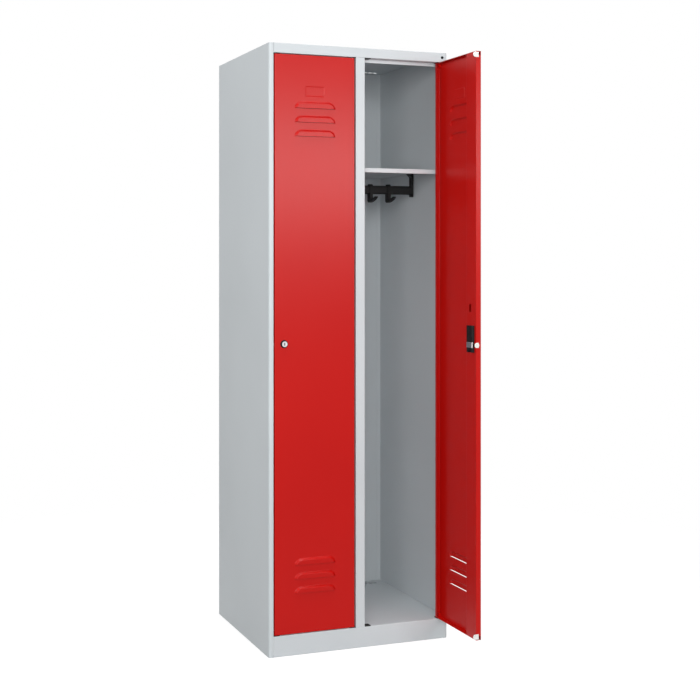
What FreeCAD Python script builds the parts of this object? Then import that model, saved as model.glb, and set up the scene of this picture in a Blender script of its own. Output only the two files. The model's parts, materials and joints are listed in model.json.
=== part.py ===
import FreeCAD, Part
import math
import os

# Steel clothing locker with two tall compartments, each behind its own louvred door.
# Millimetres, +Z up, front towards -Y. The origin is on the floor, under the middle of the carcass.
# The left door is closed and the right door stands open.

# Carcass
cabinet_width = 600.0
cabinet_depth = 500.0
cabinet_height = 1850.0
sheet = 0.8  # body and door sheet
bend = 1.2  # inside radius of a fold
corner_bend = 7.0  # inside radius of the rounded front corners
post_width = 15.0  # face of a side post, and of the flange at its rear
post_return = 17.0  # how far a post turns back beside the door
centre_post_width = 30.0
fascia_height = 30.0
plinth_height = 63.0
post_seam = 0.4  # where a post's lip meets another face
base_lip = 20.0  # turned-in edge that the base stands on
rear_flange = 15.0  # partition's rear edge, turned aside
stop_setback = 27.8  # door stop, behind the front
stop_drop = 10.0  # door stop, below the fascia
back_margin = 1.0  # edge of the back panel, inside the outline

# Vents in the floor and the top
vent_pitch = 18.5
vent_width = 14.0
vent_length = 13.0
vent_margin = 35.0  # compartment wall to the first vent's centre
vent_from_back = 38.0

# Shelf
shelf_height = 1483.0
shelf_setback = 35.0
shelf_lip = 14.0
shelf_hem = 8.0

# Coat rail
rail_drop = 42.0  # shelf top to rail top
rail_height = 28.0
rail_thickness = 14.0
rail_corner = 3.5
rail_wall = 2.0
rail_from_front = 237.0
bracket_width = 7.0
bracket_wall = 2.0  # around the rail's end
bracket_gap = 5.0  # bracket to compartment wall
bracket_gusset = 12.0
bracket_drop = 7.5  # below the rail
bracket_socket = 4.0  # how deep a rail end sits

# Coat hooks
hook_pitch = 65.0
hook_shift = -9.0  # middle hook, from the middle of the compartment
hook_width = 11.5
hook_wall = 4.0
hook_clearance = 0.4
hook_drop = 28.0  # below the rail
hook_heel = 6.0  # cut corner at the rear of the stem's foot
hook_reach = 38.0  # prong, in front of the stem
hook_rise = 15.0  # prong's tip, above its lowest point
hook_root = 9.0  # prong's thickness where it leaves the stem
hook_point = 4.0  # prong's thickness at its tip
hook_facets = 5  # flat lengths that each face of the prong is made of

# Doors
door_gap = 3.0  # all round, apart from the hinge edge
hinge_gap = 5.0
door_thickness = 17.0
door_bend = 1.2
hinge_lip = 13.0
stile_width = 60.0
stile_foot = 10.0
stile_slot_height = 24.0
stile_slot_width = 13.0
stile_slot_inset = 36.0
stile_slot_corner = 3.5
stile_slot_above_lock = 110.0
right_door_open = 90.0  # degrees

# Louvres and the recess for a label
louvre_count = 3
louvre_pitch = 42.6
louvre_height = 19.0
louvre_straight = 84.0
louvre_stretch = 1.25  # length of an end over the louvre's height
louvre_shoulder = 5.5
louvre_crest = 5.5  # proud of the door
louvre_lead = 2.0
louvre_facets = 3  # flat lengths that each rounded end is made of
lower_louvre_rise = 121.0  # door bottom to the lowest lip
upper_louvre_drop = 246.0  # door top to the lowest lip of the upper group
label_width = 62.6
label_height = 31.5
label_drop = 125.0  # door top to the label's lower edge
label_depth = 0.8
label_slope = 2.5  # width of the recess's sloping edge
corner_relief = 12.0  # height of the open corners of the door's free edge

# Hinges
hinge_inset = 6.0  # from the door's edge
hinge_setback = 6.5  # behind the door's face
pin_diameter = 5.0
pin_engagement = 7.0
pin_block_width = 9.0
pin_block_height = 12.0
running_clearance = 0.05
bush_width = 20.0
bush_depth = 20.8
bush_thickness = 2.0
bush_boss_width = 8.0
bush_boss_length = 8.0
bush_front_gap = 0.5

# Buffers on the door's free edge
buffer_width = 15.5
buffer_height = 2.0
buffer_front = 9.0  # flat end, behind the door's face
buffer_gap = 0.35  # round end to what it stops short of
buffer_from_end = 10.5

# Lock
lock_height = 942.0  # above the floor
lock_inset = 30.3  # from the door's free edge
collar_diameter = 24.5
collar_front_diameter = 18.5
collar_height = 5.2
barrel_diameter = 16.0
barrel_flats = 13.0  # across the flats that keep it from turning
plug_head_diameter = 17.0
plug_head_height = 1.0
plug_shaft_diameter = 10.0
key_slot_width = 3.0
key_slot_length = 8.0
key_slot_depth = 4.0
crank_throw = 10.0
crank_pin_diameter = 4.0
crank_thickness = 1.9
crank_width = 6.0
crank_pin_reach = 3.2
lock_turn = 90.0  # degrees
case_width = 32.5
case_height = 80.0
case_depth = 9.0
case_inset = 9.5  # from the door's free edge
case_below_lock = 22.0
case_floor = 2.3
case_notch_radius = 8.0
bolt_length = 33.0
bolt_height = 16.0
bolt_proud = 0.5
bolt_flange_drop = 10.0  # below the lock's axis
bolt_flange_rise = 14.0  # above it, for the crank pin's slot
bolt_flange_inset = 6.0  # behind the bolt's tip
bolt_flange_thickness = 3.4
bolt_tip_inset = 9.0
bolt_chamfer = 2.0
slide_clearance = 0.3
crank_clearance = 0.4

# Places worked out from the sizes above
Vector = FreeCAD.Vector
shortest_edge = 0.001
up = Vector(0, 0, 1)
half_width = cabinet_width / 2
front_y = -cabinet_depth / 2
back_y = cabinet_depth / 2
wall_x = half_width - sheet
frame_back_y = back_y - sheet
inner_back_y = frame_back_y - sheet - bend  # clear of the folds in front of the back panel
roof_z = cabinet_height - sheet
floor_z = plinth_height
fascia_z = cabinet_height - fascia_height
post_x = half_width - post_width
post_back_y = front_y + post_return
stop_y = front_y + stop_setback
partition_x = sheet / 2
compartment_width = wall_x - partition_x
compartment_middle = (wall_x + partition_x) / 2
opening_width = post_x - centre_post_width / 2
opening_left = {"left": -post_x, "right": centre_post_width / 2}
opening_angle = {"left": 0.0, "right": right_door_open}
side_sign = {"left": -1, "right": 1}

door_width = opening_width - door_gap - hinge_gap
door_bottom = floor_z + door_gap
door_top = fascia_z - door_gap
hinge_x = door_width - hinge_inset

shelf_front_y = front_y + shelf_setback
shelf_under_z = shelf_height - sheet
rail_y = front_y + rail_from_front
rail_top_z = shelf_height - rail_drop
rail_middle_z = rail_top_z - rail_height / 2
bracket_depth = rail_thickness + 2 * bracket_wall

crank_angle = math.radians(lock_turn / 2)
crank_x = lock_inset + crank_throw * math.sin(crank_angle)
crank_z = lock_height + crank_throw * math.cos(crank_angle)
crank_length = crank_throw + crank_pin_diameter / 2
crank_pin_z = lock_height + crank_throw
crank_sweep = math.hypot(crank_length, crank_width / 2) + slide_clearance
crank_reach = math.sin(crank_angle) * crank_length + math.cos(crank_angle) * crank_width / 2 + slide_clearance
case_low_z = lock_height - case_below_lock
channel_y = door_thickness + case_floor
bolt_low_y = channel_y + slide_clearance
bolt_step_y = bolt_low_y + bolt_flange_thickness
bolt_face_y = door_thickness + case_depth + bolt_proud

os.makedirs("parts", exist_ok=True)


def save(node, *solids):
    """Writes one node, of one solid or of a group of separate ones."""
    shape = solids[0] if len(solids) == 1 else Part.makeCompound(solids)
    shape.exportStep("parts/" + node + ".step")


def block(low, high):
    """Box between two opposite corners."""
    return Part.makeBox(high[0] - low[0], high[1] - low[1], high[2] - low[2], Vector(*low))


def rod(diameter, start, end):
    """Round bar between two points on its axis."""
    start = Vector(*start)
    axis = Vector(*end) - start
    return Part.makeCylinder(diameter / 2, axis.Length, start, axis)


def joined(shapes):
    """One solid out of shapes that share faces or overlap."""
    whole = shapes[0].fuse(shapes[1:]).removeSplitter()
    return whole.Solids[0]


def without(shape, tools):
    """The shape less its cut-outs, as one solid."""
    return shape.cut(tools).removeSplitter().Solids[0]


def flat_face(points, across, upright):
    """Plane polygon from points given along two directions."""
    corners = [across * a + upright * b for a, b in points]
    return Part.Face(Part.makePolygon(corners + corners[:1]))


def cut_rectangle(width, height, cut, across):
    """Upright rectangle with cut corners, about the origin."""
    quarter = [(width / 2, height / 2 - cut), (width / 2 - cut, height / 2)]
    half = quarter + [(-a, b) for a, b in reversed(quarter)]
    return flat_face(half + [(a, -b) for a, b in reversed(half)], across, up)


def rounded_path(points, radii):
    """Edges of an open path whose inner corners have the given radii."""
    edges = []
    start = points[0]
    for before, corner, after, radius in zip(points, points[1:], points[2:], radii):
        backwards = (before - corner).normalize()
        forwards = (after - corner).normalize()
        half_angle = backwards.getAngle(forwards) / 2
        tangent = radius / math.tan(half_angle)
        middle = (backwards + forwards).normalize() * (radius / math.sin(half_angle) - radius)
        arc_start = corner + backwards * tangent
        arc_end = corner + forwards * tangent
        if (arc_start - start).Length > shortest_edge:
            edges.append(Part.LineSegment(start, arc_start).toShape())
        edges.append(Part.Arc(arc_start, corner + middle, arc_end).toShape())
        start = arc_end
    edges.append(Part.LineSegment(start, points[-1]).toShape())
    return edges


def rounded_plate(corners, radii, depth):
    """Plate raised from a closed outline, its corners rounded apart from the first and the last."""
    outline = rounded_path(corners, radii)
    outline.append(Part.LineSegment(corners[-1], corners[0]).toShape())
    return Part.Face(Part.Wire(outline)).extrude(up * depth)


def folded_sheet(points, bends, thickness, across, upright, start, run):
    """Sheet folded along a path and run straight along a third direction.

    The path is one face of the sheet. The thickness lies on its left, seen with the first
    direction to the right and the second one up, or on its right where it is negative.
    bends are the inside radii.
    """
    depth = abs(thickness)
    side = math.copysign(1, thickness)
    steps = [(b[0] - a[0], b[1] - a[1]) for a, b in zip(points, points[1:])]
    lengths = [math.hypot(*step) for step in steps]
    normals = [(-side * v / n, side * u / n) for (u, v), n in zip(steps, lengths)]
    first = (points[0][0] + depth * normals[0][0], points[0][1] + depth * normals[0][1])
    last = (points[-1][0] + depth * normals[-1][0], points[-1][1] + depth * normals[-1][1])
    inner = [first]
    face_radii = []
    back_radii = []
    corners = zip(points[1:], steps, steps[1:], normals, normals[1:], bends)
    for corner, step, following, normal, next_normal, radius in corners:
        spread = depth / (1 + normal[0] * next_normal[0] + normal[1] * next_normal[1])
        shift = [spread * (normal[i] + next_normal[i]) for i in range(2)]
        inner.append((corner[0] + shift[0], corner[1] + shift[1]))
        turn = side * (step[0] * following[1] - step[1] * following[0])
        face_radii.append(radius + depth if turn > 0 else radius)
        back_radii.append(radius if turn > 0 else radius + depth)
    inner.append(last)
    face = [across * a + upright * b for a, b in points]
    back = [across * a + upright * b for a, b in inner]
    outline = rounded_path(face, face_radii)
    outline.append(Part.LineSegment(face[-1], back[-1]).toShape())
    outline += rounded_path(back, back_radii)
    outline.append(Part.LineSegment(back[0], face[0]).toShape())
    profile = Part.Face(Part.Wire(Part.__sortEdges__(outline)))
    profile.translate(start)
    return profile.extrude(run)


def hang(shape, side):
    """Carries a door piece from the door's own frame into its opening, swung to where it stands.

    In the door's frame x runs from the free edge to the hinge, y from the face to the back.
    """
    placed = shape.copy()
    corner = Vector(opening_left[side] + door_gap, front_y, 0)
    placed.translate(corner)
    placed.rotate(corner + Vector(hinge_x, hinge_setback, 0), up, opening_angle[side])
    return placed


def hinge_places():
    """Hinge axes of both openings, on either hand, each with its post and the way in from there."""
    for left in opening_left.values():
        yield left + door_gap + hinge_inset, left, 1
        yield left + door_gap + hinge_x, left + opening_width, -1


def bush_boss(hinge, low_z, high_z):
    """Square shank of a hinge bush, and the hole for it."""
    half = bush_boss_width / 2
    axis_y = front_y + hinge_setback
    return block((hinge - half, axis_y - half, low_z), (hinge + half, axis_y + half, high_z))


def vent_cuts(low_z, high_z):
    """Row of vent openings near the back of each compartment."""
    half_count = int((compartment_width / 2 - vent_margin) / vent_pitch)
    middle_y = back_y - vent_from_back
    cuts = []
    for sign in side_sign.values():
        for step in range(-half_count, half_count + 1):
            middle_x = sign * compartment_middle + step * vent_pitch
            low = (middle_x - vent_width / 2, middle_y - vent_length / 2, low_z)
            high = (middle_x + vent_width / 2, middle_y + vent_length / 2, high_z)
            cuts.append(block(low, high))
    return cuts


def side_panel(side):
    """Side wall folded into a closed front post and a rear flange."""
    sign = side_sign[side]
    path = [
        (sign * (wall_x - post_seam), post_back_y),
        (sign * post_x, post_back_y),
        (sign * post_x, front_y),
        (sign * half_width, front_y),
        (sign * half_width, frame_back_y),
        (sign * post_x, frame_back_y),
    ]
    bends = [bend, bend, corner_bend, bend]
    run = Vector(0, 0, roof_z)
    return folded_sheet(path, bends, sign * sheet, Vector(1, 0, 0), Vector(0, 1, 0), Vector(0, 0, 0), run)


def top_panel():
    """Top sheet with the fascia and the door stop folded from it."""
    path = [
        (back_y, cabinet_height),
        (front_y, cabinet_height),
        (front_y, fascia_z),
        (stop_y, fascia_z),
        (stop_y, fascia_z - stop_drop),
    ]
    start = Vector(-post_x, 0, 0)
    run = Vector(2 * post_x, 0, 0)
    pieces = [folded_sheet(path, [bend] * 3, sheet, Vector(0, 1, 0), up, start, run)]
    for sign in side_sign.values():
        corners = [
            Vector(sign * post_x, front_y, roof_z),
            Vector(sign * half_width, front_y, roof_z),
            Vector(sign * half_width, back_y, roof_z),
            Vector(sign * post_x, back_y, roof_z),
        ]
        pieces.append(rounded_plate(corners, [corner_bend + sheet, bend + sheet], sheet))
    cuts = vent_cuts(roof_z - sheet, cabinet_height + sheet)
    for place in hinge_places():
        cuts.append(bush_boss(place[0], fascia_z - sheet, fascia_z + 2 * sheet))
    notch_x = centre_post_width / 2
    notch_top = fascia_z + 2 * (bend + sheet)
    cuts.append(block((-notch_x, post_back_y - sheet, floor_z), (notch_x, stop_y + 2 * sheet, notch_top)))
    return without(joined(pieces), cuts)


def base_tray():
    """Floor with the plinth folded down from it on four sides and turned in at the bottom."""
    path = [
        (front_y + base_lip, 0),
        (front_y, 0),
        (front_y, floor_z),
        (inner_back_y, floor_z),
        (inner_back_y, 0),
        (inner_back_y - base_lip, 0),
    ]
    start = Vector(-post_x, 0, 0)
    run = Vector(2 * post_x, 0, 0)
    pieces = [folded_sheet(path, [bend] * 4, -sheet, Vector(0, 1, 0), up, start, run)]
    for sign in side_sign.values():
        path = [
            (sign * post_x, floor_z),
            (sign * wall_x, floor_z),
            (sign * wall_x, 0),
            (sign * (wall_x - base_lip), 0),
        ]
        start = Vector(0, post_back_y, 0)
        run = Vector(0, inner_back_y - post_back_y, 0)
        pieces.append(folded_sheet(path, [bend] * 2, -sign * sheet, Vector(1, 0, 0), up, start, run))
    cuts = vent_cuts(floor_z - 2 * sheet, floor_z + sheet)
    for place in hinge_places():
        cuts.append(bush_boss(place[0], floor_z - 2 * sheet, floor_z + sheet))
    return without(joined(pieces), cuts)


def back_panel():
    """Flat sheet behind the rear flanges."""
    edge_x = half_width - back_margin
    return block((-edge_x, frame_back_y, 0), (edge_x, back_y, roof_z))


def partition():
    """Sheet between the compartments, its rear edge turned aside for the back panel."""
    path = [
        (-partition_x, post_back_y),
        (-partition_x, frame_back_y),
        (rear_flange - partition_x, frame_back_y),
    ]
    run = Vector(0, 0, roof_z - floor_z)
    start = Vector(0, 0, floor_z)
    return folded_sheet(path, [bend], -sheet, Vector(1, 0, 0), Vector(0, 1, 0), start, run)


def centre_post():
    """Closed post between the doors, that the partition ends in."""
    edge = centre_post_width / 2
    half_seam = post_seam / 2
    path = [
        (-half_seam, post_back_y),
        (-edge, post_back_y),
        (-edge, front_y),
        (edge, front_y),
        (edge, post_back_y),
        (half_seam, post_back_y),
    ]
    run = Vector(0, 0, fascia_z - floor_z)
    start = Vector(0, 0, floor_z)
    return folded_sheet(path, [bend] * 4, sheet, Vector(1, 0, 0), Vector(0, 1, 0), start, run)


def shelf(side):
    """Hat shelf with a hemmed front lip and a rear edge turned down."""
    lip_z = shelf_height - shelf_lip
    path = [
        (shelf_front_y + shelf_hem, lip_z),
        (shelf_front_y, lip_z),
        (shelf_front_y, shelf_height),
        (inner_back_y, shelf_height),
        (inner_back_y, lip_z),
    ]
    low_x = partition_x if side == "right" else -wall_x
    start = Vector(low_x, 0, 0)
    run = Vector(compartment_width, 0, 0)
    return folded_sheet(path, [bend] * 3, -sheet, Vector(0, 1, 0), up, start, run)


def rail_section(margin):
    """Section of the coat rail, a rectangle with cut corners, grown by a margin on every side."""
    cut = rail_corner + margin * (2 - math.sqrt(2))
    face = cut_rectangle(rail_thickness + 2 * margin, rail_height + 2 * margin, cut, Vector(0, 1, 0))
    face.translate(Vector(0, rail_y, rail_middle_z))
    return face


def bracket_middles(side):
    """Where the two rail brackets of a compartment stand, from left to right."""
    reach = compartment_width / 2 - bracket_gap - bracket_width / 2
    middle = side_sign[side] * compartment_middle
    return [middle - reach, middle + reach]


def coat_rail(side):
    """Rail that runs across the compartment into the sockets of its brackets."""
    low_x, high_x = bracket_middles(side)
    inner = bracket_width / 2 - bracket_socket
    start = low_x + inner
    rail = rail_section(0).cut(rail_section(-rail_wall))
    rail.translate(Vector(start, 0, 0))
    return rail.extrude(Vector(high_x - inner - start, 0, 0)).Solids[0]


def rail_bracket(side, end):
    """Moulded arm under the shelf, with a gusset at its top and a socket for the rail."""
    middle = bracket_middles(side)[end]
    inward = 1 if end == 0 else -1
    outer_x = middle - inward * bracket_width / 2
    inner_x = middle + inward * bracket_width / 2
    low_z = rail_top_z - rail_height - bracket_drop
    outline = [
        (inner_x + inward * bracket_gusset, shelf_under_z),
        (inner_x, shelf_under_z - bracket_gusset),
        (inner_x, low_z),
        (outer_x, low_z),
        (outer_x, shelf_under_z),
    ]
    face = flat_face(outline, Vector(1, 0, 0), up)
    face.translate(Vector(0, rail_y - bracket_depth / 2, 0))
    arm = face.extrude(Vector(0, bracket_depth, 0))
    socket = rail_section(0)
    socket.translate(Vector(inner_x, 0, 0))
    return without(arm, [socket.extrude(Vector(-inward * bracket_socket, 0, 0))])


def coat_hook(side, place):
    """Hook whose ring wraps the rail and slides along it, with a prong that curves up in front."""
    middle = side_sign[side] * compartment_middle + hook_shift + place * hook_pitch
    grip = hook_clearance + hook_wall
    run = Vector(hook_width, 0, 0)
    rear_y = rail_y + rail_thickness / 2 + grip
    front_face_y = rail_y - rail_thickness / 2 - grip
    low_z = rail_top_z - rail_height - hook_drop
    heel_y = rear_y - hook_heel
    length = heel_y - front_face_y + hook_reach
    radius = (length**2 + hook_rise**2) / (2 * hook_rise)
    root_turn = math.asin((heel_y - front_face_y) / radius)
    tip_turn = math.asin(length / radius)
    outline = [(front_face_y, rail_middle_z), (rear_y, rail_middle_z), (rear_y, low_z + hook_heel)]
    for i in range(hook_facets + 1):
        turn = tip_turn * i / hook_facets
        outline.append((heel_y - radius * math.sin(turn), low_z + radius * (1 - math.cos(turn))))
    for i in range(hook_facets + 1):
        turn = tip_turn + (root_turn - tip_turn) * i / hook_facets
        inner = radius - hook_point - (hook_root - hook_point) * i / hook_facets
        outline.append((heel_y - inner * math.sin(turn), low_z + radius - inner * math.cos(turn)))
    body = flat_face(outline, Vector(0, 1, 0), up).extrude(run)
    whole = joined([rail_section(grip).extrude(run), body])
    hook = without(whole, [rail_section(hook_clearance).extrude(run)])
    hook.translate(Vector(middle - hook_width / 2, 0, 0))
    return hook


def hinge_bush(hinge, post, sign, upper):
    """Plastic bush with a square flange in the corner of an opening, bored where the door hangs."""
    facing = 1 if upper else -1
    seat_z = fascia_z if upper else floor_z
    low_x, high_x = sorted([post, post + sign * bush_width])
    low_z, high_z = sorted([seat_z, seat_z - facing * bush_thickness])
    low_y = front_y + bush_front_gap
    flange = block((low_x, low_y, low_z), (high_x, low_y + bush_depth, high_z))
    axis_y = front_y + hinge_setback
    end_z = seat_z + facing * bush_boss_length
    boss = bush_boss(hinge, *sorted([seat_z, end_z]))
    face_z = seat_z - facing * bush_thickness
    bore = pin_diameter + 2 * running_clearance
    bush = joined([flange, boss])
    if post in opening_left.values():
        return bush
    return without(bush, [rod(bore, (hinge, axis_y, face_z), (hinge, axis_y, end_z))])


def hinge_rod(diameter, from_z, to_z):
    """Round bar on the hinge axis."""
    return rod(diameter, (hinge_x, hinge_setback, from_z), (hinge_x, hinge_setback, to_z))


def lock_rod(diameter, from_y, to_y):
    """Round bar on the lock's axis."""
    return rod(diameter, (lock_inset, from_y, lock_height), (lock_inset, to_y, lock_height))


def barrel_bar(from_y, to_y):
    """Bar with the lock barrel's section, a round with two flats."""
    reach = barrel_flats / 2
    flats = block(
        (lock_inset - reach, from_y, lock_height - barrel_diameter),
        (lock_inset + reach, to_y, lock_height + barrel_diameter),
    )
    return lock_rod(barrel_diameter, from_y, to_y).common(flats)


def polygons(points):
    """The flat face through some corners, or none where they shrink to a line."""
    following = points[1:] + points[:1]
    corners = [point for point, after in zip(points, following) if (after - point).Length > shortest_edge]
    if len(corners) < 3:
        return []
    return [Part.Face(Part.makePolygon(corners + corners[:1]))]


def pressed(section, lip_z):
    """Half-stadium pressing about the door's middle, from a section of (distance, height) points.

    The section runs straight between two ends, where it turns a quarter round its own lip.
    """
    turns = [math.pi / 2 * i / louvre_facets for i in range(louvre_facets + 1)]
    stations = [(-1, turn) for turn in turns] + [(1, turn) for turn in reversed(turns)]
    rows = []
    for hand, turn in stations:
        end_x = door_width / 2 + hand * louvre_straight / 2
        across = hand * louvre_stretch * math.cos(turn)
        rise = math.sin(turn)
        rows.append([Vector(end_x + reach * across, -y, lip_z + reach * rise) for reach, y in section])
    faces = polygons(rows[0]) + polygons(rows[-1])
    for row, after in zip(rows, rows[1:]):
        for near, far in zip(zip(row, after), zip(row[1:] + row[:1], after[1:] + after[:1])):
            faces += polygons([near[0], near[1], far[1], far[0]])
    shell = Part.makeShell(faces)
    shell.sewShape()
    solid = Part.makeSolid(shell)
    if solid.Volume < 0:
        solid.reverse()
    return solid


def louvre(lip_z):
    """Hood pressed out of the door, open along its lower lip."""
    slope = math.hypot(louvre_shoulder, louvre_crest)
    inset = sheet * (slope - louvre_shoulder) / louvre_crest
    section = [
        (louvre_height + louvre_lead, 0),
        (louvre_height, 0),
        (louvre_height - louvre_shoulder, louvre_crest),
        (0, louvre_crest),
        (0, louvre_crest - sheet),
        (louvre_height - louvre_shoulder - inset, louvre_crest - sheet),
        (louvre_height - inset, -sheet),
        (louvre_height + louvre_lead, -sheet),
    ]
    return pressed(section, lip_z)


def louvre_cut(lip_z):
    """The opening behind a louvre."""
    section = [(0, sheet), (louvre_height, sheet), (louvre_height, -2 * sheet), (0, -2 * sheet)]
    return pressed(section, lip_z)


def label_press(margin, depth):
    """Block under the label's outline, grown by a margin, with edges that slope in to its floor."""
    low_z = door_top - label_drop - margin
    high_z = low_z + label_height + 2 * margin
    low_x = door_width / 2 - label_width / 2 - margin
    high_x = door_width / 2 + label_width / 2 + margin
    rims = []
    for inset, y in ((0, 0), (label_slope, depth)):
        corners = [
            Vector(low_x + inset, y, low_z + inset),
            Vector(high_x - inset, y, low_z + inset),
            Vector(high_x - inset, y, high_z - inset),
            Vector(low_x + inset, y, high_z - inset),
        ]
        rims.append(Part.makePolygon(corners + corners[:1]))
    return Part.makeLoft(rims, True, True)


def louvre_lips():
    """Heights of the lower lips of all louvres in a door."""
    lowest = [door_bottom + lower_louvre_rise, door_top - upper_louvre_drop]
    return [base + step * louvre_pitch for base in lowest for step in range(louvre_count)]


def buffer_heights():
    """Where the buffers sit on the door's free edge."""
    return [door_bottom + buffer_from_end, lock_height, door_top - buffer_from_end]


def door_pan():
    """Door sheet folded into a pan, with louvres, a label recess and a lip along the hinge edge."""
    path = [
        (0, door_thickness),
        (0, 0),
        (door_width, 0),
        (door_width, door_thickness),
        (door_width - hinge_lip, door_thickness),
    ]
    start = Vector(0, 0, door_bottom)
    run = Vector(0, 0, door_top - door_bottom)
    pieces = [folded_sheet(path, [door_bend] * 3, sheet, Vector(1, 0, 0), Vector(0, 1, 0), start, run)]
    for end_z in (door_bottom, door_top - sheet):
        corners = [Vector(x, y, end_z) for x, y in path[:4]]
        pieces.append(rounded_plate(corners, [door_bend + sheet] * 2, sheet))
    cuts = [louvre_cut(z) for z in louvre_lips()]
    cuts.append(barrel_bar(-sheet, 2 * sheet))
    cuts.append(hinge_rod(pin_diameter, door_bottom - sheet, door_top + sheet))
    cuts.append(label_press(0, label_depth))
    for end_z, inner_z in ((door_bottom, door_bottom + corner_relief), (door_top, door_top - corner_relief)):
        low_z, high_z = sorted([end_z, inner_z])
        cuts.append(block((0, door_bend + sheet, low_z), (door_bend + sheet, buffer_front, high_z)))
    recess = label_press(sheet, label_depth + sheet).cut(label_press(0, label_depth))
    pan = without(joined(pieces), cuts)
    return joined([pan, recess] + [louvre(z) for z in louvre_lips()])


def lock_stile():
    """Folded channel behind the door's free edge that stiffens the door and carries the lock."""
    path = [
        (sheet, door_thickness),
        (stile_width, door_thickness),
        (stile_width, 2 * sheet),
        (stile_width + stile_foot, 2 * sheet),
    ]
    low_z = door_bottom + sheet
    run = Vector(0, 0, door_top - sheet - low_z)
    start = Vector(0, 0, low_z)
    stile = folded_sheet(path, [bend] * 2, -sheet, Vector(1, 0, 0), Vector(0, 1, 0), start, run)
    plate_y = (door_thickness - 2 * sheet, door_thickness + sheet)
    middle_z = lock_height + stile_slot_above_lock
    slot = cut_rectangle(stile_slot_width, stile_slot_height, stile_slot_corner, Vector(1, 0, 0))
    slot.translate(Vector(stile_slot_inset, plate_y[0], middle_z))
    opening = slot.extrude(Vector(0, plate_y[1] - plate_y[0], 0))
    return without(stile, [barrel_bar(*plate_y), opening])


def hinge_pins():
    """Pins that stand out of the door's top and bottom, each held by a block inside."""
    half = pin_block_width / 2
    pins = []
    for edge_z, outward in ((door_top, 1), (door_bottom, -1)):
        inner_z = edge_z - outward * sheet
        low_z, high_z = sorted([inner_z, inner_z - outward * pin_block_height])
        holder = block(
            (hinge_x - half, hinge_setback - half, low_z),
            (hinge_x + half, hinge_setback + half, high_z),
        )
        shank = hinge_rod(pin_diameter, inner_z, edge_z + outward * (door_gap + pin_engagement))
        pins.append(joined([holder, shank]))
    return pins


def edge_buffers():
    """Pads on the door's free edge, with a flat front and a round rear end.

    Those at the ends reach back to the door stop, and the middle one to where the bolt passes.
    """
    radius = buffer_width / 2
    reaches = {lock_height: bolt_step_y}
    pads = []
    for z in buffer_heights():
        middle_y = reaches.get(z, stop_setback) - buffer_gap - radius
        end = rod(buffer_width, (0, middle_y, z), (-buffer_height, middle_y, z))
        foot = block((-buffer_height, buffer_front, z - radius), (0, middle_y, z + radius))
        pads.append(joined([end, foot]))
    return pads


def lock_barrel():
    """Tapered collar on the door's face and the barrel behind it, bored for the plug."""
    base = Vector(lock_inset, 0, lock_height)
    front_radius = collar_front_diameter / 2
    collar = Part.makeCone(collar_diameter / 2, front_radius, collar_height, base, Vector(0, -1, 0))
    bore = lock_rod(plug_shaft_diameter + 2 * running_clearance, -collar_height, door_thickness)
    return without(joined([collar, barrel_bar(0, door_thickness)]), [bore])


def lock_plug():
    """Plug with a key slot, a shaft through the barrel and a crank at its inner end."""
    head_y = -collar_height - running_clearance
    face_y = head_y - plug_head_height
    crank_y = channel_y - crank_thickness
    pin_y = channel_y + crank_pin_reach
    head = lock_rod(plug_head_diameter, face_y, head_y)
    shaft = lock_rod(plug_shaft_diameter, head_y, crank_y)
    arm = block(
        (lock_inset - crank_width / 2, crank_y, lock_height - crank_width / 2),
        (lock_inset + crank_width / 2, channel_y - slide_clearance, lock_height + crank_length),
    )
    pin = rod(crank_pin_diameter, (lock_inset, crank_y, crank_pin_z), (lock_inset, pin_y, crank_pin_z))
    key_slot = block(
        (lock_inset - key_slot_width / 2, face_y, lock_height - key_slot_length / 2),
        (lock_inset + key_slot_width / 2, face_y + key_slot_depth, lock_height + key_slot_length / 2),
    )
    crank = joined([arm, pin])
    crank.rotate(Vector(lock_inset, 0, lock_height), Vector(0, 1, 0), lock_turn / 2)
    return without(joined([head, shaft, crank]), [key_slot])


def lock_case():
    """Rim case on the stile, with a stepped channel that guides the bolt."""
    face_y = door_thickness + case_depth
    low = (case_inset, door_thickness, case_low_z)
    high = (case_inset + case_width, face_y, case_low_z + case_height)
    case = block(low, high)
    end_x = case_inset + case_width
    notch_x = case_inset + case_width / 2
    step_y = bolt_step_y + slide_clearance
    flange_low_z = lock_height - bolt_flange_drop - slide_clearance
    flange_high_z = lock_height + bolt_flange_rise + slide_clearance
    half_bolt = bolt_height / 2 + slide_clearance
    cuts = [
        block((0, channel_y, flange_low_z), (end_x, step_y, flange_high_z)),
        block((0, channel_y, lock_height - half_bolt), (end_x, bolt_face_y, lock_height + half_bolt)),
        block(
            (lock_inset - crank_reach, door_thickness, lock_height - crank_width),
            (lock_inset + crank_reach, channel_y, lock_height + crank_sweep),
        ),
        rod(2 * case_notch_radius, (notch_x, door_thickness, case_low_z), (notch_x, face_y, case_low_z)),
    ]
    return without(case, cuts)


def lock_bolt():
    """Sliding bolt with a guide flange and a slot for the crank pin, drawn back."""
    end_x = bolt_tip_inset + bolt_length
    flange = block(
        (bolt_tip_inset + bolt_flange_inset, bolt_low_y, lock_height - bolt_flange_drop),
        (end_x, bolt_step_y, lock_height + bolt_flange_rise),
    )
    bar = block(
        (bolt_tip_inset, bolt_step_y, lock_height - bolt_height / 2),
        (end_x, bolt_face_y, lock_height + bolt_height / 2),
    )
    tip = [
        edge
        for edge in bar.Edges
        if edge.BoundBox.XMax < bolt_tip_inset + bolt_chamfer and edge.BoundBox.YMin > bolt_step_y
    ]
    half_slot = crank_pin_diameter / 2 + crank_clearance
    slot = block(
        (crank_x - half_slot, bolt_low_y, crank_z - half_slot),
        (crank_x + half_slot, bolt_step_y, lock_height + 2 * bolt_flange_rise),
    )
    return without(joined([flange, bar.makeChamfer(bolt_chamfer, tip)]), [slot])


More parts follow.
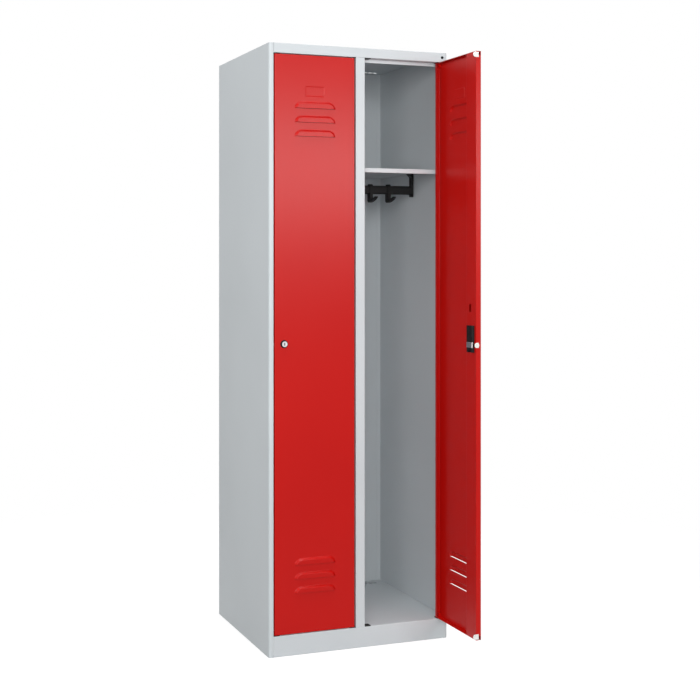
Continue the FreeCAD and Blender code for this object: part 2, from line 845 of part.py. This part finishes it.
for side in opening_left:
    save(side + "_side_panel", side_panel(side))
    save(side + "_shelf", shelf(side))
    save(side + "_coat_rail", coat_rail(side))
    for end, name in enumerate(("left", "right")):
        save(side + "_rail_" + name + "_bracket", rail_bracket(side, end))
    for place, name in ((-1, "left"), (0, "middle"), (1, "right")):
        save(side + "_rail_" + name + "_hook", coat_hook(side, place))

save("top_panel", top_panel())
save("base_tray", base_tray())
save("back_panel", back_panel())
save("partition", partition())
save("centre_post", centre_post())
save("upper_hinge_bushes", *[hinge_bush(*place, True) for place in hinge_places()])
save("lower_hinge_bushes", *[hinge_bush(*place, False) for place in hinge_places()])

door_pieces = {
    "door_pan": [door_pan()],
    "lock_stile": [lock_stile()],
    "hinge_pins": hinge_pins(),
    "edge_buffers": edge_buffers(),
    "lock_barrel": [lock_barrel()],
    "lock_case": [lock_case()],
    "lock_plug": [lock_plug()],
    "lock_bolt": [lock_bolt()],
}
for side in opening_left:
    for name, solids in door_pieces.items():
        save(side + "_" + name, *[hang(solid, side) for solid in solids])
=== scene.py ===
import json
import math

import bmesh
import bpy
import numpy as np
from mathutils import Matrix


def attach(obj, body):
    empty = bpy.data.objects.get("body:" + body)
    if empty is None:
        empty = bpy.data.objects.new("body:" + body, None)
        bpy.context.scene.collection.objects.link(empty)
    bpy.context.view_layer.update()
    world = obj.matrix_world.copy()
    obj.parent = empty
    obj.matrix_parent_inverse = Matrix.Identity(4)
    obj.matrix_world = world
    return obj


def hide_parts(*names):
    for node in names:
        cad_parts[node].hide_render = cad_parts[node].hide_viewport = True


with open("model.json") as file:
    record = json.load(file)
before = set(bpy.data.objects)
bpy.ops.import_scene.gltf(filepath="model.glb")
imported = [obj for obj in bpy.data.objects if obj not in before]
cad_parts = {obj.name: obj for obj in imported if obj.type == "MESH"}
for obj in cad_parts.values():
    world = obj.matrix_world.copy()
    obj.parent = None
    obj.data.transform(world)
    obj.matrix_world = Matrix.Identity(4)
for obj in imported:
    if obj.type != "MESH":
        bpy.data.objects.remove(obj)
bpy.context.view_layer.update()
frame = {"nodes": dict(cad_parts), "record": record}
nodes = frame["nodes"]
print("frame loaded:", len(nodes), "nodes")


def newTree(name):
    # an empty node tree that ends in a principled shader
    material = bpy.data.materials.new(name)
    material.use_nodes = True
    tree = material.node_tree
    tree.nodes.clear()
    shader = tree.nodes.new("ShaderNodeBsdfPrincipled")
    output = tree.nodes.new("ShaderNodeOutputMaterial")
    tree.links.new(shader.outputs["BSDF"], output.inputs["Surface"])
    place = tree.nodes.new("ShaderNodeTexCoord")
    return material, tree, shader, place.outputs["Object"]


# how many finer layers each kind of noise has, and the part of its range that noise mostly keeps to
noiseDetail = {"drift": 2, "haze": 1, "peel": 3, "grain": 5}
noiseReach = (0.3, 0.7)


def noise(tree, place, scale, kind):
    # a pattern of a given number of cycles per metre
    node = tree.nodes.new("ShaderNodeTexNoise")
    node.inputs["Scale"].default_value = scale
    node.inputs["Detail"].default_value = noiseDetail[kind]
    tree.links.new(place, node.inputs["Vector"])
    return node.outputs["Fac"]


def spread(tree, value, low, high):
    # noise taken to a range
    node = tree.nodes.new("ShaderNodeMapRange")
    node.inputs["From Min"].default_value, node.inputs["From Max"].default_value = noiseReach
    node.inputs["To Min"].default_value = low
    node.inputs["To Max"].default_value = high
    tree.links.new(value, node.inputs["Value"])
    return node.outputs["Result"]


def tinted(tree, value, dark, light):
    # a colour between two, by a value from 0 to 1
    node = tree.nodes.new("ShaderNodeMix")
    node.data_type = "RGBA"
    node.inputs["A"].default_value = (*dark, 1)
    node.inputs["B"].default_value = (*light, 1)
    tree.links.new(value, node.inputs["Factor"])
    return node.outputs["Result"]


def bumped(tree, shader, value, depth):
    # relief of a real depth in metres
    node = tree.nodes.new("ShaderNodeBump")
    node.inputs["Distance"].default_value = depth
    tree.links.new(value, node.inputs["Height"])
    tree.links.new(node.outputs["Normal"], shader.inputs["Normal"])


def linear(red, green, blue):
    # screen colour from 0 to 255, as light
    parts = [v / 255 for v in (red, green, blue)]
    return tuple(p / 12.92 if p <= 0.04045 else ((p + 0.055) / 1.055) ** 2.4 for p in parts)


def shaded(tree, shader, place, look):
    # a base colour that drifts slowly between two shades
    drift = spread(tree, noise(tree, place, look["driftScale"], "drift"), 0, 1)
    shade = tinted(tree, drift, linear(*look["dark"]), linear(*look["light"]))
    tree.links.new(shade, shader.inputs["Base Color"])


def coated(look):
    # paint and plastic: fine relief, a slow drift of shade and roughness
    material, tree, shader, place = newTree(look["name"])
    shaded(tree, shader, place, look)
    haze = spread(tree, noise(tree, place, look["hazeScale"], "haze"), *look["roughness"])
    tree.links.new(haze, shader.inputs["Roughness"])
    shader.inputs["Specular IOR Level"].default_value = look["specular"]
    bumped(tree, shader, noise(tree, place, look["peelScale"], "peel"), look["peelDepth"])
    return material


def plated(look):
    # bright metal with a fine grain across it
    material, tree, shader, place = newTree(look["name"])
    shaded(tree, shader, place, look)
    shader.inputs["Metallic"].default_value = 1
    grain = noise(tree, place, look["grainScale"], "grain")
    tree.links.new(spread(tree, grain, *look["roughness"]), shader.inputs["Roughness"])
    bumped(tree, shader, grain, look["grainDepth"])
    return material


carcassPaint = {
    "name": "carcassPaint", "dark": (198, 204, 207), "light": (204, 210, 213), "driftScale": 2.5,
    "hazeScale": 5, "roughness": (0.32, 0.34), "specular": 0.2, "peelScale": 700, "peelDepth": 0.00001,
}
doorPaint = {
    "name": "doorPaint", "dark": (185, 13, 8), "light": (190, 16, 10), "driftScale": 2.5,
    "hazeScale": 5, "roughness": (0.284, 0.296), "specular": 0.2, "peelScale": 700, "peelDepth": 0.00001,
}
blackPlastic = {
    "name": "blackPlastic", "dark": (14, 14, 15), "light": (20, 20, 21), "driftScale": 40,
    "hazeScale": 300, "roughness": (0.45, 0.6), "specular": 0.25, "peelScale": 1500, "peelDepth": 0.00003,
}
lockBlack = {
    "name": "lockBlack", "dark": (13, 13, 14), "light": (19, 19, 21), "driftScale": 60,
    "hazeScale": 400, "roughness": (0.45, 0.6), "specular": 0.2, "peelScale": 1800, "peelDepth": 0.00002,
}
whitePlastic = {
    "name": "whitePlastic", "dark": (225, 225, 221), "light": (238, 238, 235), "driftScale": 60,
    "hazeScale": 300, "roughness": (0.35, 0.45), "specular": 0.45, "peelScale": 1500, "peelDepth": 0.00002,
}
chromePlate = {
    "name": "chromePlate", "dark": (212, 213, 216), "light": (232, 233, 235), "driftScale": 50,
    "grainScale": 900, "roughness": (0.1, 0.2), "grainDepth": 0.000004,
}
zincPlate = {
    "name": "zincPlate", "dark": (165, 167, 170), "light": (192, 193, 195), "driftScale": 80,
    "grainScale": 700, "roughness": (0.28, 0.42), "grainDepth": 0.00001,
}
finishes = {
    "carcass_paint": coated(carcassPaint), "door_paint": coated(doorPaint),
    "black_plastic": coated(blackPlastic), "lock_black": coated(lockBlack),
    "white_plastic": coated(whitePlastic), "chrome": plated(chromePlate), "zinc_steel": plated(zincPlate),
}
slotOf = {entry["node"]: entry["material_slot"] for entry in frame["record"]["subparts"]}
bodies = frame["record"]["behaviour"]["bodies"]
bodyOf = {node: body for body, names in bodies.items() for node in names}
for node, slotName in slotOf.items():
    mesh = nodes[node].data
    mesh.materials.clear()
    mesh.materials.append(finishes[slotName])
print("finishes:", len(finishes))


def added(name, mesh, body, slotName):
    # a new piece that rides on a body and takes a finish of the record
    if not mesh.materials:
        mesh.materials.append(finishes[slotName])
    piece = bpy.data.objects.new(name, mesh)
    bpy.context.collection.objects.link(piece)
    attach(piece, body)
    return piece


# moulded and machined pieces: a merged copy of the node with its edges rounded, widths in metres
softEdges = {
    "black_plastic": 0.0008, "lock_black": 0.0005, "white_plastic": 0.0005,
    "chrome": 0.0003, "zinc_steel": 0.0003,
}
edgeSegments = 3
sharpFrom = math.radians(33)
flatWithin = math.radians(0.5)
sameWithin = 1e-6
plugClearance = 0.00002


def softened(node, width):
    mesh = nodes[node].data.copy()
    form = bmesh.new()
    form.from_mesh(mesh)
    bmesh.ops.remove_doubles(form, verts=form.verts, dist=sameWithin)
    bmesh.ops.dissolve_limit(form, angle_limit=flatWithin, verts=form.verts, edges=form.edges)
    if node.endswith("_lock_plug"):
        # a hair smaller, so that it turns free in its barrel
        for corner in form.verts:
            corner.co -= plugClearance * corner.normal
    form.to_mesh(mesh)
    form.free()
    mesh.shade_smooth()
    mesh.set_sharp_from_angle(angle=sharpFrom)
    piece = added("soft_" + node, mesh, bodyOf[node], slotOf[node])
    bevel = piece.modifiers.new("edges", "BEVEL")
    bevel.width = width
    bevel.segments = edgeSegments
    bevel.limit_method = "ANGLE"
    bevel.angle_limit = sharpFrom
    bevel.harden_normals = True
    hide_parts(node)
    return piece


softNodes = [node for node, slotName in slotOf.items() if slotName in softEdges]
softPieces = {node: softened(node, softEdges[slotOf[node]]) for node in softNodes}
print("rounded copies:", len(softPieces))

# a door's own frame: its start, then a row each for across from the free edge, back from the face, and up
doorFrames = {
    "left": (np.array([-0.282, -0.25, 0]), np.array([[1, 0, 0], [0, 1, 0], [0, 0, 1]])),
    "right": (np.array([0.2805, -0.4995, 0]), np.array([[0, 1, 0], [-1, 0, 0], [0, 0, 1]])),
}


def onDoor(side, points):
    # points of a door's own frame, where that door stands
    start, axes = doorFrames[side]
    return start + np.asarray(points, float) @ axes


seamWithin = 1e-7


def gridMesh(name, grids, closed=False):
    # one mesh from grids of points, each seen from outside: rows go up, columns go to the right
    corners, faces, first = [], [], 0
    for grid in grids:
        rows, columns = grid.shape[:2]
        index = first + np.arange(rows * columns).reshape(rows, columns)
        if closed:
            index = np.concatenate([index, index[:, :1]], axis=1)
        ring = [index[:-1, :-1], index[:-1, 1:], index[1:, 1:], index[1:, :-1]]
        faces.append(np.stack(ring, axis=-1).reshape(-1, 4))
        corners.append(grid.reshape(-1, 3))
        first += rows * columns
    mesh = bpy.data.meshes.new(name)
    mesh.from_pydata(np.concatenate(corners).tolist(), [], np.concatenate(faces).tolist())
    form = bmesh.new()
    form.from_mesh(mesh)
    bmesh.ops.remove_doubles(form, verts=form.verts, dist=seamWithin)
    bmesh.ops.dissolve_degenerate(form, edges=form.edges, dist=seamWithin)
    form.to_mesh(mesh)
    form.free()
    mesh.shade_smooth()
    return mesh


# louvre hoods: the pressed skin of each louvre, with the soft foot and crest of drawn sheet
louvreHood = {
    "groups": (0.187, 1.571), "count": 3, "pitch": 0.0426, "middle": 0.131, "straight": 0.084,
    "stretch": 1.25, "height": 0.019, "shoulder": 0.0046, "crest": 0.0055, "foot": 0.001,
    "rounding": 0.0006, "roundingSteps": 9, "lift": 0.00022, "leastLift": 0.1,
    "steps": 56, "turnSteps": 28, "wall": 0.0001,
}


def hoodGrid(look, lipHeight):
    # height over the door by distance from the lip: a straight ramp averaged over a small width, which
    # rounds its foot and crest. This section runs along the lip and turns a quarter ellipse at each end
    reach = np.linspace(0, look["height"] + look["foot"], look["steps"])
    offsets = np.linspace(-1, 1, look["roundingSteps"])[:, None] * look["rounding"]
    ramp = np.clip((look["height"] - reach - offsets) / look["shoulder"], 0, 1).mean(axis=0)
    cover = np.clip((look["height"] + look["foot"] - reach) / look["foot"], look["leastLift"], 1)
    proud = look["crest"] * ramp + look["lift"] * cover
    quarter = np.linspace(0, math.pi / 2, look["turnSteps"])
    turn = np.concatenate([quarter, quarter[::-1]])
    hand = np.repeat([-1, 1], look["turnSteps"])
    outward = look["straight"] / 2 + look["stretch"] * np.cos(turn) * reach[:, None]
    across = look["middle"] + hand * outward
    up = lipHeight + np.sin(turn) * reach[:, None]
    return np.stack([across, np.repeat(-proud[:, None], len(turn), axis=1), up], axis=-1)


lipSteps = np.arange(louvreHood["count"]) * louvreHood["pitch"]
lipHeights = [base + step for base in louvreHood["groups"] for step in lipSteps]
for side in doorFrames:
    skins = [onDoor(side, hoodGrid(louvreHood, lip)) for lip in lipHeights]
    mesh = gridMesh(side + "LouvreHoods", skins)
    hoods = added(side + "_louvre_hoods", mesh, side + "_door", "door_paint")
    wall = hoods.modifiers.new("wall", "SOLIDIFY")
    wall.thickness = louvreHood["wall"]
print("louvre hoods:", len(doorFrames) * len(lipHeights))


# a direction along no edge, from which a head takes its turn
skewed = (0.36, 0.48, 0.8)


def headGrid(look, centre, axis):
    # rings of a domed head about an axis: the height is an ellipse of the radius, less the cross, where
    # the smaller of the two distances from the middle lines is under half the cross's width
    share = np.concatenate([np.linspace(0, 1, look["rings"]), [1]])
    angle = np.linspace(0, 2 * math.pi, look["sides"], endpoint=False)
    side = look["radius"] * share[:, None] * np.cos(angle)
    rise = look["radius"] * share[:, None] * np.sin(angle)
    dome = look["rim"] + (look["dome"] - look["rim"]) * np.sqrt(1 - share**2)
    dome[-1] = 0
    near = np.minimum(abs(side), abs(rise))
    inCross = np.clip((look["crossWidth"] / 2 - near) / look["crossEdge"] + 0.5, 0, 1)
    inCross = inCross * np.clip((look["crossReach"] - np.hypot(side, rise)) / look["crossEnd"], 0, 1)
    height = dome[:, None] - look["crossDepth"] * inCross
    forward = np.asarray(axis, float)
    first = np.cross(forward, skewed)
    first = first / np.linalg.norm(first)
    second = np.cross(forward, first)
    grid = side[..., None] * first + rise[..., None] * second + height[..., None] * forward
    return np.asarray(centre, float) + grid[::-1]


panScrew = {
    "radius": 0.0037, "dome": 0.0021, "rim": 0.0008, "rings": 26, "sides": 72,
    "crossWidth": 0.0009, "crossReach": 0.0022, "crossDepth": 0.0012,
    "crossEdge": 0.0001, "crossEnd": 0.0002,
}
railScrews = {"x": (-0.2907, -0.0089, 0.0089, 0.2907), "y": -0.013, "z": 1.483}
places = [(x, railScrews["y"], railScrews["z"]) for x in railScrews["x"]]
heads = [headGrid(panScrew, place, (0, 0, 1)) for place in places]
added("rail_screws", gridMesh("railScrews", heads, True), "carcass", "zinc_steel")
fasciaStud = {
    "place": (0.282, -0.25, 1.835), "radius": 0.0046, "dome": 0.003, "rim": 0.0004,
    "rings": 18, "sides": 48,
    "crossWidth": 0, "crossReach": 0, "crossDepth": 0, "crossEdge": 0.0001, "crossEnd": 0.0002,
}
stud = headGrid(fasciaStud, fasciaStud["place"], (0, -1, 0))
added("fascia_stud", gridMesh("fasciaStud", [stud], True), "carcass", "lock_black")
caseScrews = {"across": 0.0257, "back": 0.026, "heights": (0.968, 0.99)}
for side, (_, axes) in doorFrames.items():
    places = [(caseScrews["across"], caseScrews["back"], height) for height in caseScrews["heights"]]
    heads = [headGrid(panScrew, onDoor(side, place), axes[1]) for place in places]
    mesh = gridMesh(side + "CaseScrews", heads, True)
    added(side + "_case_screws", mesh, side + "_door", "lock_black")

# the lock's middle in a door's own frame
lockPlace = {"across": 0.0303, "height": 0.942}

# lock nut: a hexagon, whose radius is half its width over the cosine of the angle to the nearest flat
lockNut = {"from": 0.0008, "to": 0.0048, "width": 0.022, "bore": 0.0081, "sides": 72}
angle = np.linspace(0, 2 * math.pi, lockNut["sides"], endpoint=False)
sixth = math.pi / 3
outer = lockNut["width"] / 2 / np.cos((angle + sixth / 2) % sixth - sixth / 2)
inner = np.full(lockNut["sides"], lockNut["bore"])
nutOutline = ((inner, "from"), (outer, "from"), (outer, "to"), (inner, "to"), (inner, "from"))
for side in doorFrames:
    loops = []
    for radius, back in nutOutline:
        across = lockPlace["across"] + radius * np.cos(angle)
        up = lockPlace["height"] + radius * np.sin(angle)
        loops.append(np.stack([across, np.full(lockNut["sides"], lockNut[back]), up], axis=-1))
    mesh = gridMesh(side + "LockNut", [onDoor(side, np.stack(loops))], True)
    mesh.set_sharp_from_angle(angle=sharpFrom)
    added(side + "_lock_nut", mesh, side + "_door", "zinc_steel")


def faceMiddles(mesh):
    # the middle of every face, one row each
    middles = np.zeros(3 * len(mesh.polygons))
    mesh.polygons.foreach_get("center", middles)
    return middles.reshape(-1, 3)


def refinished(mesh, slotName, chosen):
    # a second finish on the chosen faces
    mesh.materials.append(finishes[slotName])
    mesh.polygons.foreach_set("material_index", chosen.astype(np.int32))


# key slot: the plug's faces inside it get the black finish as painted shade, the shade within the slot's
# depth. They lie within the slot and a margin, behind its face
keySlot = {
    "face": -0.00625, "width": 0.003, "length": 0.008, "depth": 0.004,
    "margin": 0.0001, "behind": 0.0002,
}
for side, (start, axes) in doorFrames.items():
    mesh = softPieces[side + "_lock_plug"].data
    across, back, up = ((faceMiddles(mesh) - start) @ axes.T).T
    paintedShade = abs(across - lockPlace["across"]) < keySlot["width"] / 2 + keySlot["margin"]
    paintedShade &= abs(up - lockPlace["height"]) < keySlot["length"] / 2 + keySlot["margin"]
    depth = back - keySlot["face"] - keySlot["behind"]
    paintedShade &= (depth > 0) & (depth < keySlot["depth"])
    # painted shade: the chosen faces inside the key slot take the black finish
    refinished(mesh, "lock_black", paintedShade)

# hinge pins: their holders are welded into the door and painted with it
pinHolder = {"from": 0.066, "to": 1.817}
for side in doorFrames:
    mesh = softPieces[side + "_hinge_pins"].data
    heights = faceMiddles(mesh)[:, 2]
    refinished(mesh, "door_paint", (heights > pinHolder["from"]) & (heights < pinHolder["to"]))
print("fasteners and locks")


def seenRays(tree):
    # 1 for rays from the camera, a mirror or a window, 0 for rays that carry light
    rays = tree.nodes.new("ShaderNodeLightPath")
    seen = rays.outputs["Is Camera Ray"]
    for kind in ("Is Glossy Ray", "Is Transmission Ray"):
        either = tree.nodes.new("ShaderNodeMath")
        either.operation = "MAXIMUM"
        tree.links.new(seen, either.inputs[0])
        tree.links.new(rays.outputs[kind], either.inputs[1])
        seen = either.outputs["Value"]
    return seen


# floor: a grey disc that glows to the eye until it looks white, keeps shadows, and fades out before its rim
studioFloor = {
    "radius": 6.0, "sides": 96, "fadeFrom": 0.7, "fadeTo": 2.3,
    "colour": (150, 150, 150), "glow": 0.78, "roughness": 0.9, "specular": 0.1,
}
angle = np.linspace(0, 2 * math.pi, studioFloor["sides"], endpoint=False)
rim = np.stack([np.cos(angle), np.sin(angle), np.zeros(len(angle))], axis=1) * studioFloor["radius"]
floorMesh = bpy.data.meshes.new("studioFloor")
floorMesh.from_pydata(rim.tolist(), [], [list(range(len(angle)))])
floor = bpy.data.objects.new("studioFloor", floorMesh)
bpy.context.collection.objects.link(floor)
floorLook, tree, shader, place = newTree("studioFloor")
shader.inputs["Base Color"].default_value = (*linear(*studioFloor["colour"]), 1)
shader.inputs["Roughness"].default_value = studioFloor["roughness"]
shader.inputs["Specular IOR Level"].default_value = studioFloor["specular"]
shader.inputs["Emission Color"].default_value = (1, 1, 1, 1)
glow = tree.nodes.new("ShaderNodeMath")
glow.operation = "MULTIPLY"
glow.inputs[1].default_value = studioFloor["glow"]
tree.links.new(seenRays(tree), glow.inputs[0])
tree.links.new(glow.outputs["Value"], shader.inputs["Emission Strength"])
reach = tree.nodes.new("ShaderNodeVectorMath")
reach.operation = "LENGTH"
tree.links.new(place, reach.inputs[0])
fade = tree.nodes.new("ShaderNodeMapRange")
fade.interpolation_type = "SMOOTHSTEP"
fade.inputs["From Min"].default_value = studioFloor["fadeFrom"]
fade.inputs["From Max"].default_value = studioFloor["fadeTo"]
fade.inputs["To Min"].default_value = 1
fade.inputs["To Max"].default_value = 0
tree.links.new(reach.outputs["Value"], fade.inputs["Value"])
tree.links.new(fade.outputs["Result"], shader.inputs["Alpha"])
floorMesh.materials.append(floorLook)

# surroundings: white to the eye, softer as light
studioSky = {"shown": 1, "lighting": 0.17, "tint": (0.97, 0.985, 1)}
world = bpy.data.worlds.new("studio")
bpy.context.scene.world = world
world.use_nodes = True
sky = world.node_tree
sky.nodes.clear()
shown = sky.nodes.new("ShaderNodeBackground")
shown.inputs["Strength"].default_value = studioSky["shown"]
shown.inputs["Color"].default_value = (1, 1, 1, 1)
lighting = sky.nodes.new("ShaderNodeBackground")
lighting.inputs["Strength"].default_value = studioSky["lighting"]
lighting.inputs["Color"].default_value = (*studioSky["tint"], 1)
blend = sky.nodes.new("ShaderNodeMixShader")
skyOut = sky.nodes.new("ShaderNodeOutputWorld")
sky.links.new(seenRays(sky), blend.inputs["Fac"])
sky.links.new(lighting.outputs["Background"], blend.inputs[1])
sky.links.new(shown.outputs["Background"], blend.inputs[2])
sky.links.new(blend.outputs["Shader"], skyOut.inputs["Surface"])


def softbox(name, place, target, size, power):
    # an area light that faces a point
    lamp = bpy.data.lights.new(name, "AREA")
    lamp.shape = "RECTANGLE"
    lamp.size, lamp.size_y = size
    lamp.energy = power
    box = bpy.data.objects.new(name, lamp)
    bpy.context.collection.objects.link(box)
    box.location = place
    away = np.array(place, float) - np.array(target, float)
    turn = math.atan2(away[0], -away[1])
    tilt = math.atan2(math.hypot(away[0], away[1]), away[2])
    box.rotation_euler = (tilt, 0, turn)


# lamps, sizes in metres and power in watts
lamps = {
    "keyLight": {"place": (1.1, -3.36, 1.74), "target": (-0.1, 0, 1.4), "size": (1.4, 0.33), "power": 28},
    "frontLight": {"place": (-0.8, -4.0, 1.9), "target": (0, 0, 1.0), "size": (2.8, 1.6), "power": 65},
    "fillLight": {"place": (-3.4, -0.6, 3.0), "target": (0, 0, 1.2), "size": (2.0, 2.0), "power": 52},
    "sideLight": {"place": (-2.4, -3.9, 1.7), "target": (0, 0, 1.0), "size": (2.0, 2.2), "power": 61},
    "topLight": {"place": (0.1, -1.1, 6.0), "target": (0.1, -0.2, 0), "size": (3.0, 1.0), "power": 80},
    "backLight": {"place": (2.6, 3.8, 2.8), "target": (0, 0, 0.9), "size": (3.0, 3.0), "power": 130},
}
for name, look in lamps.items():
    softbox(name, **look)

# camera: level, at the photograph's view, with its turn in degrees
lens = {
    "place": (-1.565, -3.759, 1.201), "turn": -20.04,
    "sensor": 36, "focal": 63.91, "shift": (0.109, -0.1311),
}
camera = bpy.data.objects.new("camera", bpy.data.cameras.new("camera"))
bpy.context.collection.objects.link(camera)
camera.location = lens["place"]
camera.rotation_euler = (math.pi / 2, 0, math.radians(lens["turn"]))
camera.data.sensor_width = lens["sensor"]
camera.data.lens = lens["focal"]
camera.data.shift_x, camera.data.shift_y = lens["shift"]
bpy.context.scene.camera = camera
bpy.context.scene.view_settings.view_transform = "Standard"
print("studio ready")
